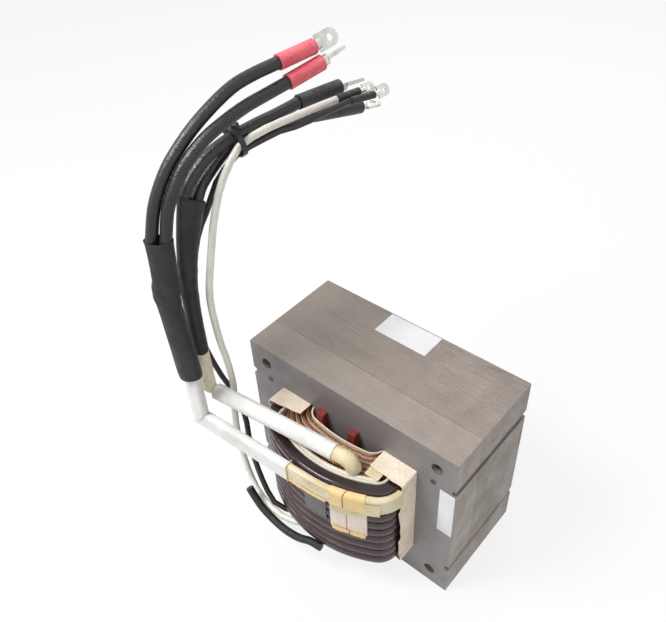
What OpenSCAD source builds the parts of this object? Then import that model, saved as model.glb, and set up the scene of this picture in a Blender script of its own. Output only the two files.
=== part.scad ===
// Laminated chassis transformer: welded E-I core, one vertical coil on the
// centre leg, two sleeved copper leads and a standing bundle of cables.
// Millimetres. Origin on the core's underside, below its centre.
// X runs across the core, Y through the stack (minus Y is the lead side), Z up.

/* [Core] */
// Width of the core across the three legs
core_w = 240; // [180:1:300]
// Height of the core from the base to the top of the yoke
core_h = 200; // [150:1:250]
// Thickness of the lamination stack
core_d = 116; // [60:1:160]
// Width of the outer legs and of both yokes
yoke_w = 40; // [30:1:50]
// Diameter of the four clamping holes
hole_d = 12; // [6:0.5:16]
// Radius of the grooves that take the weld beads
groove_r = 4; // [2:0.5:6]
// Diameter of the two joint pins
pin_d = 5.6; // [3:0.1:8]

/* [Coil] */
// Half width of the outer winding across the window
coil_w = 75.2; // [70:0.1:77]
// Reach of the outer winding from the centre at the front
coil_f = 114.8; // [90:0.1:130]
// Lowest edge of the windings
coil_z0 = 42; // [41:0.5:60]
// Upper edge of the windings
coil_z1 = 156; // [120:0.5:158]
// Number of heavy turns one above the other
turn_n = 10; // [6:1:20]
// Radial depth of one heavy turn
turn_t = 10.3; // [4:0.1:11]
// Number of inner conductor layers
layer_n = 5; // [1:1:5]
// Radial depth of an inner conductor
layer_t = 3; // [1:0.1:3.2]
// Thickness of the slot liner sheet
liner_t = 0.8; // [0.3:0.1:1.5]
// Reach of the slot liner beyond each core face
liner_out = 21; // [5:1:30]

/* [Leads] */
// Height of the flattened sleeve on the outer lead
flat_h = 20; // [12:1:24]
// Thickness of the glass-sleeved end that hugs the coil
flat_t = 7; // [4:0.5:9]
// Diameter of the sleeve on the inner lead
inner_d = 15; // [10:0.5:18]
// Diameter of the bare bar that leaves the inner lead
bar_d = 10.5; // [6:0.5:14]

/* [Cables] */
// Outside diameter of the four power cables
cable_d = 10.4; // [6:0.1:14]
// Outside diameter of the cream wire
cream_d = 6.5; // [3:0.1:8]
// Outside diameter of the black auxiliary wire
black_d = 5.6; // [3:0.1:8]
// Outside diameter of the shrink sleeves on the cable ends
shrink_d = 13; // [11:0.5:16]
// Width of the terminal tongues
lug_w = 15; // [10:0.5:20]
// Hole in the terminal tongues
lug_hole = 6.4; // [4:0.1:10]

/* [Hidden] */
$fn = 64;
leg_x = core_w / 2 - yoke_w;
centre_x = yoke_w;
window_z = core_h - yoke_w;
half_d = core_d / 2;
hole_x = core_w / 2 - yoke_w / 2;
turn_h = (coil_z1 - coil_z0) / turn_n;
lead_z = 146;
run_z = 168;
seam = 0.02;

// Plan curve of each ring: half width, reach, front arc radius, corner radius
former_c = [42.5, 70.5, 160, 14];
wrap_c = [64.5, 104.1, 117.3, 11.3];
coil_c = [coil_w, coil_f, 128, 22];

// Cable routes, from the joint sleeve to the terminal sleeve
route_a = [[-129, -130, 359], [-128, -121, 385], [-126, -105, 409], [-123, -85, 427],
    [-120, -65, 440], [-117, -40, 451], [-114, -20, 455], [-110, 6, 457]];
route_b = [[-120, -123, 359], [-118.5, -115, 385], [-116, -98, 409], [-113, -78, 424],
    [-110, -58, 432], [-108, -36, 437], [-105, -14, 440], [-103, 8, 442]];
route_c = [[-131, -91, 375.7], [-130.5, -84, 386], [-129, -70, 397], [-127, -54, 404],
    [-124, -36, 408], [-121, -14, 410], [-118, 8, 411], [-115, 30, 413]];
route_d = [[-131, -79, 367.3], [-132, -71, 377], [-132, -54, 388], [-129, -38, 398],
    [-126, -16, 400], [-124, 3, 399], [-121, 24, 398], [-117, 50, 393]];
route_cream = [[-18, -104, 38], [-30, -110, 37.5], [-45, -113.6, 38], [-62, -113, 39], [-83, -109, 43],
    [-96, -106, 62],
    [-103, -105, 98], [-111, -99, 130], [-116, -90, 165], [-116, -92, 204],
    [-118, -94, 229], [-119, -95, 275], [-116, -92, 305], [-114, -87, 329],
    [-116, -80, 346], [-117, -70, 367], [-117, -62, 381], [-117, -50, 394],
    [-118, -37, 402], [-111.5, -14, 408], [-105, 10, 410], [-99, 36, 411], [-95, 56, 411]];
route_black = [[-34, -99, 37.3], [-44, -104.5, 38.5], [-52, -108.3, 42.3], [-60, -110, 47.5],
    [-70, -107, 53], [-81, -105, 76],
    [-89, -103, 108], [-104, -92, 134], [-124, -86, 147], [-136, -88, 166], [-144, -92, 196],
    [-150, -93, 224], [-146, -91, 262], [-143, -86, 302], [-138, -79, 332],
    [-129, -70, 358], [-126, -63, 374], [-122, -50, 388], [-121, -36, 394],
    [-114, -18, 399], [-107, -2, 403], [-99, 14, 404], [-93, 34, 407], [-85, 62, 410]];

// Direction and length helpers for the cable routes
function unit(v) = v / norm(v);
function heading(p, i) = unit(p[min(i + 1, len(p) - 1)] - p[max(i - 1, 0)]);
function ring_at(c, t, r, n) =
    let (u = unit(cross(t, [0.6, 0, 0.8])), v = cross(t, u))
    [for (k = [0:n - 1]) c + r * (cos(360 * k / n) * u + sin(360 * k / n) * v)];
function quad(s, a, b, n) = [[s + a, s + b, s + n + b], [s + a, s + n + b, s + n + a]];
function cap(first, n) = [for (k = [0:n - 1]) first + k];

// Round tube through a list of points
module tube(p, d, n = 8) {
    m = len(p);
    pts = [for (i = [0:m - 1]) each ring_at(p[i], heading(p, i), d / 2, n)];
    sides = [for (i = [0:m - 2]) for (k = [0:n - 1]) each quad(i * n, k, (k + 1) % n, n)];
    ends = [cap((m - 1) * n, n), [for (k = [0:n - 1]) n - 1 - k]];
    polyhedron(points = pts, faces = concat(sides, ends));
}

// Places children so that their X axis points from p towards q
module along(p, q, roll = 0) {
    v = q - p;
    translate(p)
        rotate([0, -asin(v[2] / norm(v)), atan2(v[1], v[0])])
            rotate([roll, 0, 0])
                children();
}

// Round bar from p to q
module bar(p, q, d) {
    along(p, q)
        rotate([0, 90, 0])
            cylinder(h = norm(q - p), d = d);
}

// Rear curve of a loop: the winding lies tighter there than at the lead end
function rear_c(c) = [c[0], 20.4 + c[0], 357.5 + c[0], c[0] - 38.5];

// Angle at which a curve's long arc meets its corner, and the flank's reach
function arc_turn(c) = asin((c[0] - c[3]) / (c[2] - c[3]));

function flank_y(c) = c[1] - c[2] + (c[2] - c[3]) * cos(arc_turn(c));

// Sweeps a profile round a racetrack curve; the profile's x = 0 lies on the curve
module loop(c) {
    r = rear_c(c);
    for (side = [0, 1])
        rotate([0, 0, 180 * side]) {
            translate([c[0], flank_y(side > 0 ? c : r) - seam, 0])
                rotate([90, 0, 0])
                    linear_extrude(height = flank_y(c) + flank_y(r) - 2 * seam)
                        children();
            half_loop(side > 0 ? r : c)
                children();
        }
}

// Long arc and both corners of one end of a loop
module half_loop(c) {
    turn = arc_turn(c);
    for (side = [-1, 1])
        translate([side * (c[0] - c[3]), -flank_y(c), 0])
            rotate([0, 0, side > 0 ? turn - 90 + seam : 180 + seam])
                rotate_extrude(angle = 90 - turn - 2 * seam)
                    translate([c[3], 0])
                        children();
    front_arc(c, seam / 4 - turn, turn - seam / 4)
        children();
}

// Sweeps a profile along the front arc between two angles, zero at the middle
module front_arc(c, from, to) {
    translate([0, c[2] - c[1], 0])
        rotate([0, 0, from - 90])
            rotate_extrude(angle = to - from, $fn = 128)
                translate([c[2], 0])
                    children();
}

// Sweeps a profile round the front right corner, ending short of the flank
module corner_arc(c, stop) {
    turn = arc_turn(c);
    translate([c[0] - c[3], -flank_y(c), 0])
        rotate([0, 0, turn - 90])
            rotate_extrude(angle = 90 - turn - stop)
                translate([c[3], 0])
                    children();
}

// Upright strip with a rounded top, from z0 to z1, reaching inward by t
module strip(t, z0, z1) {
    translate([-t, z0])
        square([t, z1 - z0 - t / 2]);
    translate([-t / 2, z1 - t / 2])
        circle(d = t, $fn = 32);
}

// Rounded rectangle with its lower left corner at the origin
module pad(w, h, r) {
    translate([r, 0])
        square([w - 2 * r, h]);
    translate([0, r])
        square([w, h - 2 * r]);
    for (x = [r, w - r])
        for (y = [r, h - r])
            translate([x, y])
                circle(r = r, $fn = 32);
}

// Rectangle with its two outer corners rounded
module nose(w, h, r) {
    square([w - r, h]);
    translate([0, r])
        square([w, h - 2 * r]);
    for (y = [r, h - r])
        translate([w - r, y])
            circle(r = r, $fn = 32);
}

module core_block(x0, x1, z0, z1) {
    translate([x0, -half_d, z0])
        cube([x1 - x0, core_d, z1 - z0]);
}

module through_hole(x, z, d) {
    translate([x, half_d + 1, z])
        rotate([90, 0, 0])
            cylinder(h = core_d + 2, d = d);
}

module core_cuts() {
    for (side = [-1, 1]) {
        through_hole(side * hole_x, yoke_w / 2, hole_d);
        through_hole(side * hole_x, core_h - yoke_w / 2, hole_d);
        through_hole(side * core_w / 2, yoke_w, 2 * groove_r);
        through_hole(side * core_w / 2, window_z, 2 * groove_r);
        through_hole(side * (hole_x - 3), window_z, pin_d);
    }
}

module e_core() {
    color([0.33, 0.33, 0.35])
        difference() {
            union() {
                core_block(-core_w / 2, core_w / 2, 0, yoke_w);
                core_block(-core_w / 2, -leg_x, yoke_w, window_z);
                core_block(-centre_x, centre_x, yoke_w, window_z);
                core_block(leg_x, core_w / 2, yoke_w, window_z);
            }
            core_cuts();
        }
}

module i_core() {
    color([0.38, 0.36, 0.34])
        difference() {
            core_block(-core_w / 2, core_w / 2, window_z, core_h);
            core_cuts();
        }
}

// Weld bead lying in a side groove, recessed by a given depth
module weld(side, z, recess) {
    color([0.6, 0.55, 0.55])
        intersection() {
            translate([side * core_w / 2, half_d - 2, z])
                rotate([90, 0, 0])
                    cylinder(h = core_d - 4, r = groove_r);
            translate([side > 0 ? 0 : recess - core_w / 2, -half_d, z - groove_r])
                cube([core_w / 2 - recess, core_d, 2 * groove_r]);
        }
}

module weld_upper_left() weld(-1, window_z, 1.8);

module weld_upper_right() weld(1, window_z, 1.8);

module weld_lower_left() weld(-1, yoke_w, 0.3);

module weld_lower_right() weld(1, yoke_w, 0.3);

module joint_pins() {
    color([0.7, 0.7, 0.7])
        for (side = [-1, 1])
            translate([side * (hole_x - 3), half_d + 0.4, window_z])
                rotate([90, 0, 0])
                    cylinder(h = core_d + 0.8, d = pin_d);
}

module former() {
    color([0.85, 0.78, 0.6])
        loop(former_c)
            translate([-1.5, 41])
                square([1.5, 115.8]);
}

// Plan curve of an inner layer, counted outwards from 1
function layer_c(k) = [42.6 + 3.75 * k, 69.7 + 5 * k, 160 - 4 * k, 17 + 1.2 * k];

module inner_layer(k) {
    color([0.62, 0.36, 0.2])
        loop(layer_c(k))
            strip(layer_t, coil_z0 + 1, coil_z1 - 1);
}

module inner_layer_1() inner_layer(1);

module inner_layer_2() inner_layer(2);

module inner_layer_3() inner_layer(3);

module inner_layer_4() inner_layer(4);

module inner_layer_5() inner_layer(5);

module layer_paper(k) {
    grow = [0.55, 0.9, 0, 0.5];
    color([0.86, 0.8, 0.65])
        loop(layer_c(k) + grow)
            translate([-0.4, coil_z0])
                square([0.4, coil_z1 - coil_z0 - 0.4]);
}

module layer_paper_1() layer_paper(1);

module layer_paper_2() layer_paper(2);

module layer_paper_3() layer_paper(3);

module layer_paper_4() layer_paper(4);

// Barrier between the two windings, padded at the lead end
module barrier_wrap() {
    turn = arc_turn(wrap_c);
    color([0.95, 0.93, 0.86]) {
        loop(wrap_c)
            strip(2.4, coil_z0, coil_z1 + 1);
        front_arc(wrap_c, -turn, turn)
            translate([-2.4 - seam, 0])
                strip(4.2, coil_z0, coil_z1 + 1);
    }
}

// Heavy turns laid one above the other on a common inner wall
module outer_winding() {
    color([0.33, 0.22, 0.24])
        loop(coil_c) {
            translate([-turn_t, coil_z0 + 1])
                square([turn_t - 4.5, coil_z1 - coil_z0 - 2]);
            for (k = [0:turn_n - 1])
                translate([-turn_t + 1, coil_z0 + k * turn_h + 0.2])
                    nose(turn_t - 1, turn_h - 0.4, 3.8);
        }
}

// Sheet folded to a channel: top strip, strip on the outer leg, bottom strip
module slot_liner(inner_in) {
    out = half_d + liner_out;
    flap = [[centre_x + 4, inner_in - out], [leg_x - liner_t, -out],
        [leg_x - liner_t, out], [centre_x + 4, out - inner_in]];
    color([0.93, 0.88, 0.74]) {
        for (z = [yoke_w, window_z - liner_t])
            translate([0, 0, z])
                linear_extrude(height = liner_t)
                    polygon(flap);
        translate([leg_x - liner_t, -out, yoke_w])
            cube([liner_t, 2 * out, window_z - yoke_w]);
    }
}

module slot_liner_right() slot_liner(1);

module slot_liner_left() {
    mirror([1, 0, 0])
        slot_liner(6);
}

// Blocks that keep the former off the leg face
module wedges_front() {
    color([0.45, 0.08, 0.08])
        for (x = [-26.6, 11.4])
            translate([x - 4, -half_d - 7.4, yoke_w])
                cube([8, 7.4, 124]);
}

// Flat glass-sleeved end that follows the coil and leaves it at a tangent
module outer_lead() {
    lead_c = coil_c + [0.8 + flat_t, 0.8 + flat_t, 0.8 + flat_t, 0.8 + flat_t];
    turn = asin((coil_w - 22) / 106);
    color([0.9, 0.82, 0.55]) {
        corner_arc(lead_c, 5)
            translate([-flat_t, lead_z - flat_h / 2])
                pad(flat_t, flat_h, 3);
        front_arc(lead_c, 3, turn)
            translate([-flat_t, lead_z - flat_h / 2])
                pad(flat_t, flat_h, 3);
        lead_straight(0, 22)
            translate([-flat_t / 2, -flat_h / 2])
                pad(flat_t, flat_h, 3);
    }
}

// Straight tangent run of the outer lead, from one distance to another
module lead_straight(from, to) {
    reach = 128 + 0.8 + flat_t / 2;
    translate([reach * sin(3), 128 - coil_f - reach * cos(3), lead_z])
        rotate([0, 0, 183])
            translate([from, 0, 0])
                rotate([90, 0, 90])
                    linear_extrude(height = to - from)
                        children();
}

// White sleeve: a flat run and an upright end that meet at a mitred fold
module outer_lead_sleeve() {
    fold = [[-141.8, 127], [-110.6, 162]];
    color([0.95, 0.95, 0.93]) {
        intersection() {
            lead_straight(22, 150)
                translate([-4.5, -13])
                    pad(9, 23, 4.4);
            upright_slab([fold[0], fold[1], [20, 162], [20, 127]]);
        }
        intersection() {
            translate([-126.2, -126.5, 127])
                linear_extrude(height = 77)
                    translate([-10.25, -4.5])
                        pad(20.5, 9, 4.4);
            upright_slab([fold[0] - [0.05, 0], fold[1] - [0.05, 0], [-110.6, 210], [-150, 210], [-150, 127]]);
        }
    }
}

// Slab across the depth of the front leads with an outline in X and Z
module upright_slab(outline) {
    translate([0, -100, 0])
        rotate([90, 0, 0])
            linear_extrude(height = 50)
                polygon(outline);
}

// Frame of the inner lead: it runs along minus X, swung a little to the front
module inner_frame() {
    translate([34, -89, 0])
        rotate([0, 0, 6.4])
            children();
}

// Elbow that rises out of the coil and turns towards minus X
module inner_lead() {
    color([0.93, 0.86, 0.62])
        inner_frame() {
            translate([-9, 0, run_z - 9])
                rotate([90, 0, 0])
                    rotate_extrude(angle = 90)
                        translate([9, 0])
                            circle(d = inner_d);
            bar([-9, 0, run_z], [-19, 0, run_z], inner_d);
        }
}

module inner_lead_sleeve() {
    color([0.96, 0.96, 0.94])
        inner_frame()
            bar([-19, 0, run_z], [-156, 0, run_z], inner_d + 1);
}

module inner_lead_bar() {
    color([0.78, 0.66, 0.5])
        inner_frame() {
            translate([-156, 0, run_z + 10])
                rotate([90, 0, 0])
                    rotate([0, 0, 180])
                        rotate_extrude(angle = 90)
                            translate([10, 0])
                                circle(d = bar_d);
            bar([-166, 0, run_z + 10], [-166, 0, 213], bar_d);
        }
}

// Glass tape bound round the outer lead
module tape_band() {
    tape = 0.7;
    lead_c = coil_c + [0.8 + flat_t, 0.8 + flat_t, 0.8 + flat_t, 0.8 + flat_t];
    color([0.88, 0.76, 0.45])
        front_arc(lead_c, 13, 27)
            difference() {
                translate([-flat_t - tape, lead_z - flat_h / 2 - tape])
                    pad(flat_t + 2 * tape, flat_h + 2 * tape, 3.6);
                translate([-flat_t, lead_z - flat_h / 2])
                    pad(flat_t, flat_h, 3);
            }
}

module wide_tape() {
    color([0.93, 0.88, 0.8])
        front_arc(coil_c, 11, 27)
            translate([0, 90])
                square([0.6, 44]);
}

module clear_tape() {
    color([0.62, 0.58, 0.6])
        front_arc(coil_c, -2, 9)
            translate([0, 96])
                square([0.4, 40]);
}

// Blunt sleeve on the winding's start, lying along the lowest turn
module start_sleeve() {
    color([0.1, 0.1, 0.1])
        tube([[-1, -117.3, 40.3], [-14, -120.4, 36.6], [-27, -121.8, 35.6], [-39, -122, 36], [-52, -121.6, 38.6],
            [-64, -121, 43], [-73, -120.5, 51], [-81, -120, 61]], 8);
}

// Upright sleeve through oval rings: [centre, half length, half width, slope]
module sleeve(rings, turn) {
    n = 24;
    m = len(rings);
    pts = [for (g = rings) each oval(g[0], g[1], g[2], g[3], turn, n)];
    sides = [for (i = [0:m - 2]) for (k = [0:n - 1]) each quad(i * n, k, (k + 1) % n, n)];
    ends = [cap((m - 1) * n, n), [for (k = [0:n - 1]) n - 1 - k]];
    polyhedron(points = pts, faces = concat(sides, ends));
}

function oval(c, a, b, slope, turn, n) = [for (k = [0:n - 1])
    let (u = a * cos(360 * k / n), v = b * sin(360 * k / n))
    let (x = u * cos(turn) - v * sin(turn), y = u * sin(turn) + v * cos(turn))
    c + [x, y, -slope * y]];

// Joint sleeve over the outer lead and two cables
module joint_sleeve_1() {
    rings = [[[-126, -127.2, 204], 10.8, 8.8, 0], [[-126, -127.6, 212], 11.4, 9.2, 0],
        [[-126, -129, 250], 10.8, 9, 0], [[-126, -131, 285], 10.2, 8.8, 0],
        [[-126, -131, 299], 10.8, 8.7, 0], [[-126, -130.5, 308], 13, 8.6, 0],
        [[-125.5, -129, 318], 11.2, 7.6, 0], [[-125, -128, 335], 11.4, 7, 0],
        [[-125, -127, 357.4], 11.2, 6.6, 0]];
    color([0.07, 0.07, 0.07])
        sleeve(rings, 37);
}

// Joint sleeve over the inner lead and two cables, leaning back at the top
module joint_sleeve_2() {
    rings = [[[-131, -107.5, 213], 6.6, 6.6, 0], [[-131, -107.5, 221], 7.6, 7.4, 0],
        [[-131, -107.5, 262], 7.4, 7.3, 0], [[-131, -105, 300], 8.6, 7.4, 0],
        [[-131, -99, 328], 10, 7.2, 0.2], [[-131, -92, 350], 11.6, 7, 0.5],
        [[-131, -85, 371.5], 11.6, 6.4, 0.7]];
    color([0.07, 0.07, 0.07])
        sleeve(rings, 90);
}

module cable_a() {
    color([0.1, 0.1, 0.11])
        tube(route_a, cable_d);
}

module cable_b() {
    color([0.1, 0.1, 0.11])
        tube(route_b, cable_d);
}

module cable_c() {
    color([0.1, 0.1, 0.11])
        tube(route_c, cable_d);
}

module cable_d_tube() {
    color([0.1, 0.1, 0.11])
        tube(route_d, cable_d);
}

module cable_sleeve_a() {
    color([0.75, 0.25, 0.22])
        bar([-110, 6, 457], [-105, 42, 459], shrink_d);
}

module cable_sleeve_b() {
    color([0.75, 0.2, 0.18])
        bar([-103, 8, 442], [-98, 43, 447], shrink_d);
}

module cable_sleeve_c() {
    color([0.07, 0.07, 0.07])
        bar([-115, 30, 413], [-108, 75, 412], shrink_d);
}

module cable_sleeve_d() {
    color([0.07, 0.07, 0.07])
        bar([-117, 50, 393], [-110, 105, 381], shrink_d);
}

// Crimp terminal: short barrel and a flat tongue with a hole
module lug(p, q, roll, w, hole, barrel) {
    reach = norm(q - p);
    color([0.75, 0.74, 0.7])
        along(p, q, roll)
            difference() {
                union() {
                    rotate([0, 90, 0])
                        cylinder(h = 6, d = barrel);
                    translate([4, -w / 2, -1.2])
                        cube([reach - w / 2 - 4, w, 2.4]);
                    translate([reach - w / 2, 0, -1.2])
                        cylinder(h = 2.4, d = w);
                }
                translate([reach - w / 2, 0, -4])
                    cylinder(h = 8, d = hole);
            }
}

module lug_a() lug([-105, 42, 459], [-101, 66, 463], 60, lug_w, lug_hole, 9);

module lug_b() lug([-98, 43, 447], [-94, 67, 453], -30, lug_w, lug_hole, 9);

module lug_c() lug([-108, 75, 412], [-104, 102, 409], -30, lug_w, lug_hole, 9);

module lug_d() lug([-110, 105, 381], [-106, 128, 378], 0, lug_w, lug_hole, 9);

module cream_wire() {
    color([0.88, 0.84, 0.74])
        tube(route_cream, cream_d);
}

module cream_sleeve() {
    color([0.07, 0.07, 0.07])
        bar([-95, 56, 411], [-89, 79, 411], 7.6);
}

module cream_lug() lug([-89, 79, 411], [-85, 94, 412], 60, 10, 4.3, 5);

module black_wire() {
    color([0.12, 0.12, 0.12])
        tube(route_black, black_d);
}

module black_sleeve() {
    color([0.07, 0.07, 0.07])
        bar([-85, 62, 410], [-79, 87, 408], 6.8);
}

module ring_lug() lug([-79, 87, 408], [-76, 103, 409], 60, 11, 4.3, 5);

// Ratchet tie round the cables and both thin wires
module cable_tie() {
    color([0.08, 0.08, 0.08])
        along([-124.6, -38, 402], [-122.6, -28, 404])
            rotate([0, 90, 0])
                difference() {
                    cylinder(h = 4.6, d = 26.6);
                    translate([0, 0, -1])
                        cylinder(h = 8, d = 24.2);
                }
}

e_core();
i_core();
weld_upper_left();
weld_upper_right();
weld_lower_left();
weld_lower_right();
joint_pins();
former();
inner_layer_1();
inner_layer_2();
inner_layer_3();
inner_layer_4();
inner_layer_5();
layer_paper_1();
layer_paper_2();
layer_paper_3();
layer_paper_4();
barrier_wrap();
outer_winding();
slot_liner_left();
slot_liner_right();
wedges_front();
outer_lead();
outer_lead_sleeve();
inner_lead();
inner_lead_sleeve();
inner_lead_bar();
tape_band();
wide_tape();
clear_tape();
start_sleeve();
joint_sleeve_1();
joint_sleeve_2();
cable_a();
cable_b();
cable_c();
cable_d_tube();
cable_sleeve_a();
cable_sleeve_b();
cable_sleeve_c();
cable_sleeve_d();
lug_a();
lug_b();
lug_c();
lug_d();
cream_wire();
cream_sleeve();
cream_lug();
black_wire();
black_sleeve();
ring_lug();
cable_tie();
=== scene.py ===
"""Laminated chassis transformer: finishes, cords, small parts, light and camera."""

import logging
import math
from dataclasses import dataclass, field
from enum import Enum

import bpy
from mathutils import Matrix, Vector


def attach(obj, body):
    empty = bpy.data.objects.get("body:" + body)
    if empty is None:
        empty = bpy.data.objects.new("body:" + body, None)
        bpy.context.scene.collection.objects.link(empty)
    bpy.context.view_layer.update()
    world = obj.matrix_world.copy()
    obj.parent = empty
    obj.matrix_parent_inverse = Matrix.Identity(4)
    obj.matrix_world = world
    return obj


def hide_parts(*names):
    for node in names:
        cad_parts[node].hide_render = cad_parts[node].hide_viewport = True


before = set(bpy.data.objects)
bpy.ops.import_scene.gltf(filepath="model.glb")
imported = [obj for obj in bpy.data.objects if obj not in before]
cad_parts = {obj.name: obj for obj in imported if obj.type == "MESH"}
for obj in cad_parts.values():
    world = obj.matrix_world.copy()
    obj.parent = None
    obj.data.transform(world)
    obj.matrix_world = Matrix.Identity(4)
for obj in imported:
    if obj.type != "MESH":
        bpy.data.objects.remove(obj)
LOG = logging.getLogger("transformer")
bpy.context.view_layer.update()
ROOT = "root"
Point = tuple[float, float, float]
Socket = bpy.types.NodeSocket
Masks = tuple[Socket, Socket, Socket]  # shade mask, bump height, stain mask
Ring = tuple[Point, float, float, float]  # centre, long and short half widths, slope

PER_METRE = 1000.0  # millimetres in a metre
FRONT_RADIUS = 128.0  # radius of the coil's front arc at the outer lead, in millimetres
FRONT_CENTRE_Y = 13.2  # Y of that arc's centre, in millimetres
LEAD_START = math.radians(3.0)  # angle on the arc at which the lead runs straight
PACK_JOINT_Y = -0.0215  # Y at which the stack's two packs meet, in metres
TURN_LINES = 82.7  # wave scale at which one line falls between two turns
WIRE_LINES, BEAD_LINES, TAPE_LINES = 70.0, 110.0, 150.0  # wave scales of the finer lines
WEAVE_THREADS = 230.0  # wave scale of woven tape and sleeve
YELLOW_THREAD_X, WHITE_THREAD_X = 0.0435, 0.0405  # where a red thread crosses a tape, in metres
SOIL_TINT = (0.74, 0.71, 0.67, 1.0)
WHITE = (1.0, 1.0, 1.0, 1.0)
CURVE_STEPS = 16  # points that a curve gets between two route points


class Pattern(Enum):
    """The surface effects that a finish can carry."""

    STACK = "stack"
    STRANDS = "strands"
    WIRE = "wire"
    PAPER = "paper"
    BRAID = "braid"
    SHEATH = "sheath"
    TINNED = "tinned"
    BEAD = "bead"
    TAPE = "tape"


@dataclass(frozen=True)
class Finish:
    """One surface finish: colours, gloss and the effect laid over them."""

    name: str
    pattern: Pattern
    colour: Point
    shade: Point
    stain: Point
    roughness: float = 0.5
    spread: float = 0.15
    metallic: float = 0.0
    bump: float = 0.2
    scale: float = 1.0
    coat: float = 0.0
    dirt: float = 0.35


FINISHES: dict[str, Finish] = {
    f.name: f
    for f in (
        Finish("core", Pattern.STACK, (0.310, 0.270, 0.238), (0.125, 0.097, 0.074), (0.228, 0.214, 0.216),
               0.42, 0.16, 0.3, 0.4, 1.0, 0.0, 0.2),
        Finish("weld", Pattern.BEAD, (0.30, 0.26, 0.23), (0.13, 0.105, 0.09), (0.22, 0.13, 0.07), 0.42, 0.2,
               0.6, 0.8),
        Finish("pin", Pattern.TINNED, (0.16, 0.15, 0.15), (0.07, 0.06, 0.06), (0.10, 0.06, 0.04), 0.4, 0.2,
               0.8, 0.5),
        Finish("paper", Pattern.PAPER, (0.80, 0.70, 0.52), (0.62, 0.50, 0.33), (0.52, 0.38, 0.22), 0.75,
               0.1, 0.0, 0.4),
        Finish("liner", Pattern.PAPER, (0.95, 0.85, 0.70), (0.86, 0.71, 0.53), (0.68, 0.50, 0.33), 0.6,
               0.12, 0.0, 0.6),
        Finish("wrap", Pattern.BRAID, (0.82, 0.78, 0.69), (0.62, 0.55, 0.44), (0.55, 0.42, 0.26), 0.72, 0.1,
               0.0, 0.5),
        # The enamel's near-black second colour is painted shade for the grooves between turns.
        Finish("enamel", Pattern.STRANDS, (0.052, 0.022, 0.026), (0.008, 0.004, 0.005), (0.085, 0.05, 0.05),
               0.2, 0.12, 0.0, 0.7, 1.0, 0.1, 0.3),
        Finish("conductor", Pattern.WIRE, (0.40, 0.135, 0.050), (0.12, 0.030, 0.013), (0.6, 0.30, 0.13),
               0.26, 0.15, 0.45, 0.5, 1.0, 0.2, 0.3),
        Finish("wedge", Pattern.PAPER, (0.25, 0.030, 0.020), (0.13, 0.014, 0.010), (0.10, 0.02, 0.02), 0.5,
               0.1, 0.0, 0.4),
        Finish("lead_tape", Pattern.BRAID, (0.80, 0.72, 0.52), (0.62, 0.49, 0.28), (0.66, 0.48, 0.20), 0.5,
               0.14, 0.0, 0.5, 1.0, 0.1, 0.5),
        Finish("yellow_tape", Pattern.BRAID, (0.90, 0.66, 0.32), (0.72, 0.49, 0.20), (0.26, 0.03, 0.02),
               0.42, 0.12, 0.0, 0.5, 1.0, 0.15, 0.3),
        Finish("elbow_tape", Pattern.BRAID, (0.80, 0.70, 0.46), (0.62, 0.50, 0.28), (0.60, 0.44, 0.20), 0.5,
               0.12, 0.0, 0.5, 1.0, 0.1, 0.4),
        Finish("sleeve", Pattern.BRAID, (0.84, 0.84, 0.83), (0.66, 0.65, 0.63), (0.70, 0.66, 0.56), 0.62,
               0.1, 0.0, 0.5, 1.2),
        Finish("bar", Pattern.SHEATH, (0.86, 0.78, 0.61), (0.72, 0.63, 0.46), (0.42, 0.33, 0.20), 0.55, 0.1,
               0.0, 0.4),
        Finish("white_tape", Pattern.TAPE, (0.78, 0.70, 0.60), (0.60, 0.50, 0.40), (0.62, 0.10, 0.10), 0.38,
               0.1, 0.0, 0.4, 1.0, 0.2),
        Finish("clear_tape", Pattern.SHEATH, (0.075, 0.060, 0.066), (0.045, 0.035, 0.039),
               (0.2, 0.18, 0.17), 0.24, 0.14, 0.0, 0.4, 1.0, 0.2),
        Finish("shrink", Pattern.SHEATH, (0.009, 0.009, 0.010), (0.005, 0.005, 0.006), (0.02, 0.019, 0.02),
               0.46, 0.18, 0.0, 0.5),
        Finish("red_shrink", Pattern.SHEATH, (0.90, 0.16, 0.20), (0.74, 0.095, 0.125), (0.5, 0.05, 0.07),
               0.42, 0.15, 0.0, 0.5),
        Finish("cable", Pattern.SHEATH, (0.014, 0.014, 0.016), (0.008, 0.008, 0.009), (0.05, 0.048, 0.046),
               0.3, 0.14, 0.0, 0.3),
        Finish("cream", Pattern.SHEATH, (0.95, 0.93, 0.86), (0.86, 0.83, 0.74), (0.60, 0.54, 0.44), 0.45,
               0.15, 0.0, 0.3, 1.0, 0.1, 0.25),
        Finish("tin", Pattern.TINNED, (0.74, 0.73, 0.70), (0.46, 0.44, 0.41), (0.30, 0.27, 0.24), 0.26,
               0.18, 0.95, 0.3),
        Finish("tie", Pattern.SHEATH, (0.014, 0.014, 0.015), (0.008, 0.008, 0.008), (0.03, 0.03, 0.03), 0.4,
               0.1, 0.0, 0.2),
        Finish("label", Pattern.PAPER, (0.74, 0.74, 0.76), (0.66, 0.66, 0.68), (0.62, 0.61, 0.60), 0.42,
               0.1, 0.0, 0.15, 1.0, 0.0, 0.15),
    )
}


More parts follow.
